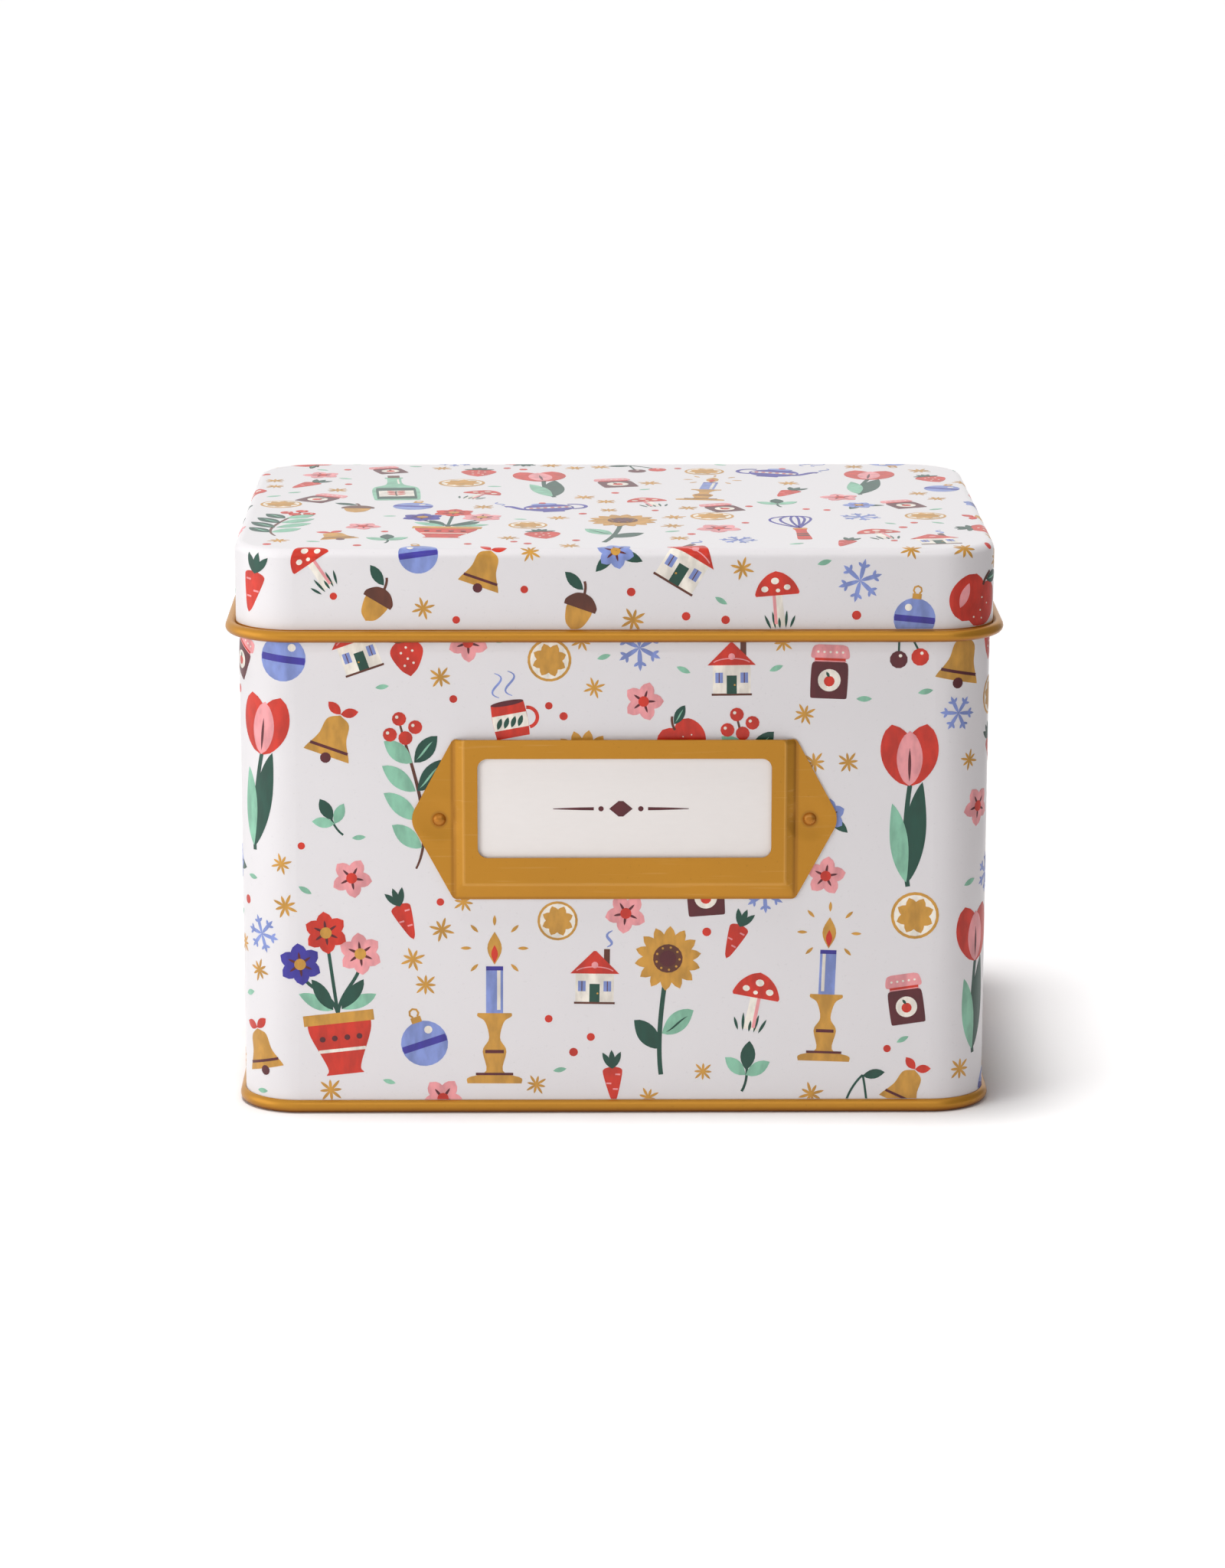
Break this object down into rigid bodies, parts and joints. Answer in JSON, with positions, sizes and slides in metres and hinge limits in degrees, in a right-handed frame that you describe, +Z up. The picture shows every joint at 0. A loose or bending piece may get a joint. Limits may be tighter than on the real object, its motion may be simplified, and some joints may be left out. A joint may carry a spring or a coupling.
{
  "type": "recipe tin",
  "caption": "Rectangular printed tin with a back-hinged slip lid, rolled gold rims, a riveted label holder on the front and a file of recipe cards between tabbed dividers.",
  "frame": {"origin": "on the table, under the middle of the closed tin", "axes": "+X to the tin's right along its length, -Y out of the front with the label, +Z up"},
  "size_m": [0.1726, 0.1226, 0.1282],
  "materials": {
    "printed_tinplate": "satin white enamel with a printed pattern",
    "gold_lacquer": "satin gold lacquer over tinplate",
    "gold_rivet": "satin",
    "bright_tinplate": "bright tinned",
    "steel_wire": "drawn wire",
    "label_board": "smooth uncoated card",
    "divider_board": "matt printed card",
    "recipe_card": "smooth uncoated card"
  },
  "bodies": {
    "tin": {"body_wall": "printed_tinplate", "base_panel": "gold_lacquer", "hinge_strap_left": "bright_tinplate", "hinge_strap_right": "bright_tinplate", "label_holder": "gold_lacquer", "label_rivet_left": "gold_rivet", "label_rivet_right": "gold_rivet", "divider_07": "divider_board", "divider_08": "divider_board", "divider_09": "divider_board", "divider_10": "divider_board", "divider_11": "divider_board", "divider_12": "divider_board", "recipe_card_13": "recipe_card", "recipe_card_14": "recipe_card", "recipe_card_15": "recipe_card", "recipe_card_16": "recipe_card", "recipe_card_17": "recipe_card", "recipe_card_18": "recipe_card", "recipe_card_19": "recipe_card", "recipe_card_20": "recipe_card", "recipe_card_21": "recipe_card", "recipe_card_22": "recipe_card", "recipe_card_23": "recipe_card", "recipe_card_24": "recipe_card"},
    "lid": {"lid_shell": "printed_tinplate", "hinge_wire": "steel_wire"},
    "label_card": {"label_card": "label_board"},
    "front_cards": {"divider_01": "divider_board", "divider_02": "divider_board", "divider_03": "divider_board", "divider_04": "divider_board", "divider_05": "divider_board", "divider_06": "divider_board", "recipe_card_01": "recipe_card", "recipe_card_02": "recipe_card", "recipe_card_03": "recipe_card", "recipe_card_04": "recipe_card", "recipe_card_05": "recipe_card", "recipe_card_06": "recipe_card", "recipe_card_07": "recipe_card", "recipe_card_08": "recipe_card", "recipe_card_09": "recipe_card", "recipe_card_10": "recipe_card", "recipe_card_11": "recipe_card", "recipe_card_12": "recipe_card"}
  },
  "joints": [
    {"name": "lid_hinge", "type": "hinge", "parent": "tin", "child": "lid", "pos_m": [0, 0.06005, 0.109], "axis": [-1, 0, 0], "range_deg": [0, 105]},
    {"name": "label_card_slide", "type": "slide", "parent": "tin", "child": "label_card", "axis": [0, 0, 1], "range_m": [0, 0.022]},
    {"name": "front_cards_tilt", "type": "hinge", "parent": "tin", "child": "front_cards", "pos_m": [0, 0.02587, 0.00336], "axis": [1, 0, 0], "range_deg": [0, 55]}
  ]
}
